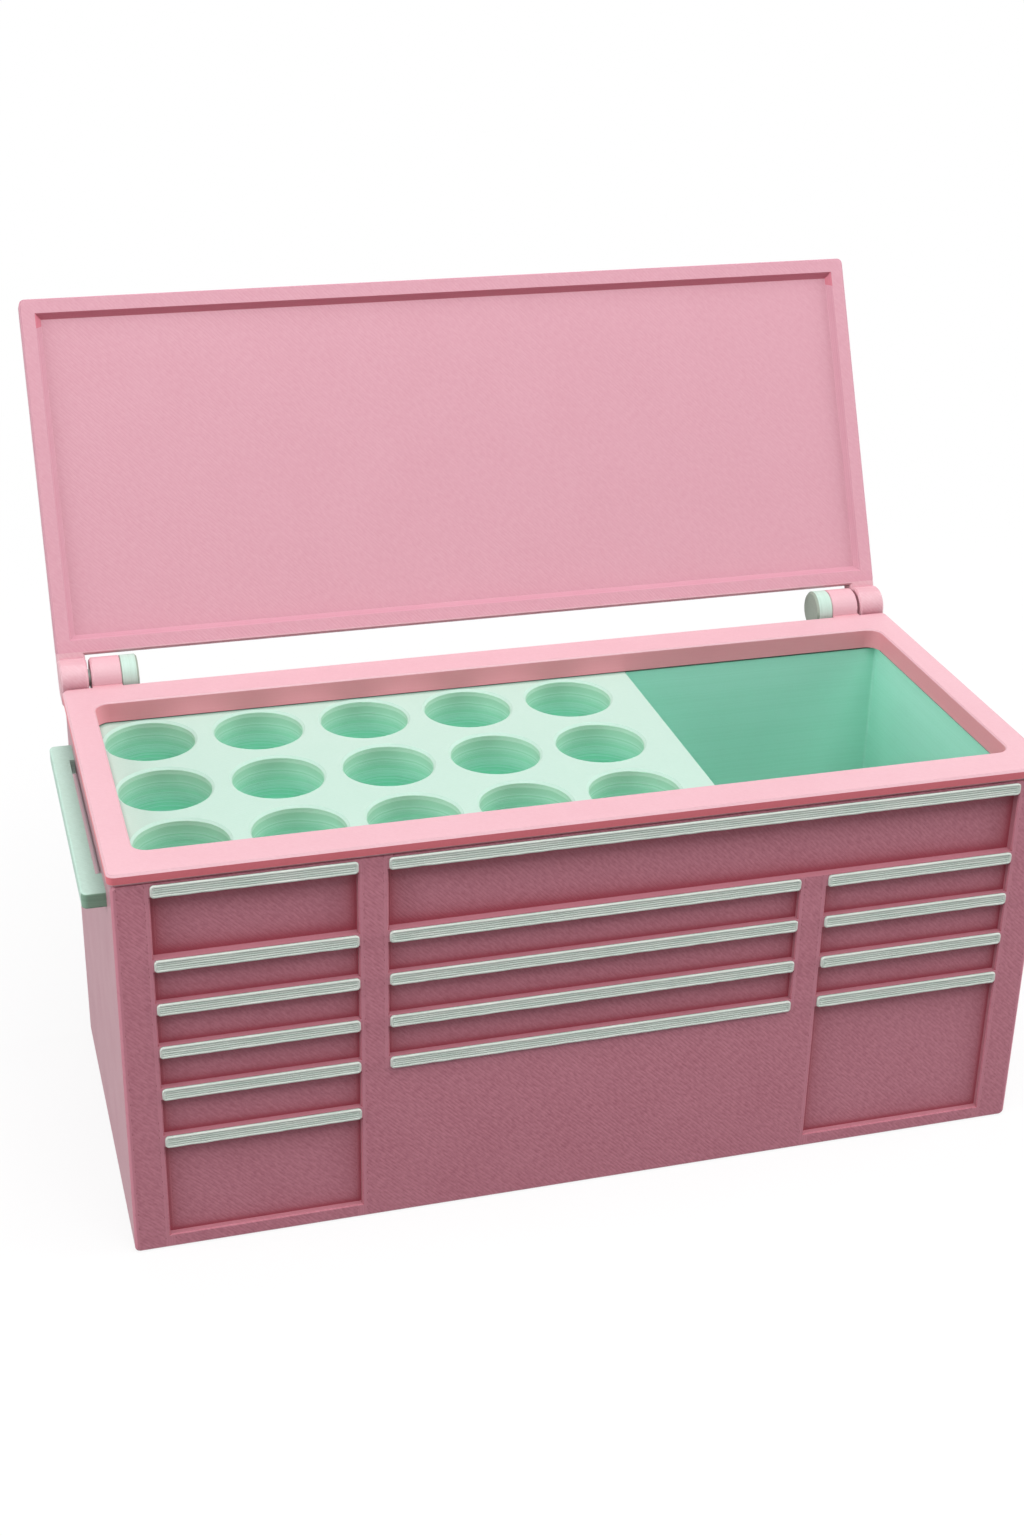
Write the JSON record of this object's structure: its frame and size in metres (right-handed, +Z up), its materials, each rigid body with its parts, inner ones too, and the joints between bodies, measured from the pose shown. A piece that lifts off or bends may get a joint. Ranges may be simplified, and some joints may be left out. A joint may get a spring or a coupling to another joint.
{
  "type": "miniature tool chest",
  "caption": "Tabletop box shaped like a tool chest: relief drawer fronts, hinged lid, side handle, and a tray with wells for round cells beside an open bin.",
  "frame": {"origin": "centre of the cabinet's base underside", "axes": "+X to the right seen from the drawer fronts, +Y to the hinge side, +Z up"},
  "size_m": [0.1569, 0.1037, 0.1282],
  "materials": {
    "pink_plastic": "matte, fine printed layers",
    "mint_plastic": "matte, fine printed layers"
  },
  "bodies": {
    "cabinet": {"cabinet_body": "pink_plastic", "top_rim": "pink_plastic", "storage_tray": "mint_plastic", "side_handle": "mint_plastic", "hinge_pin_left": "mint_plastic", "hinge_pin_right": "mint_plastic", "pull_top_wide": "mint_plastic", "pull_left_1": "mint_plastic", "pull_left_2": "mint_plastic", "pull_left_3": "mint_plastic", "pull_left_4": "mint_plastic", "pull_left_5": "mint_plastic", "pull_left_6": "mint_plastic", "pull_middle_2": "mint_plastic", "pull_middle_3": "mint_plastic", "pull_middle_4": "mint_plastic", "pull_middle_5": "mint_plastic", "pull_right_2": "mint_plastic", "pull_right_3": "mint_plastic", "pull_right_4": "mint_plastic", "pull_right_5": "mint_plastic"},
    "lid": {"lid": "pink_plastic"}
  },
  "joints": [
    {"name": "lid_hinge", "type": "hinge", "parent": "cabinet", "child": "lid", "pos_m": [0, 0.03745, 0.0691], "axis": [1, 0, 0], "range_deg": [0, 116]}
  ]
}
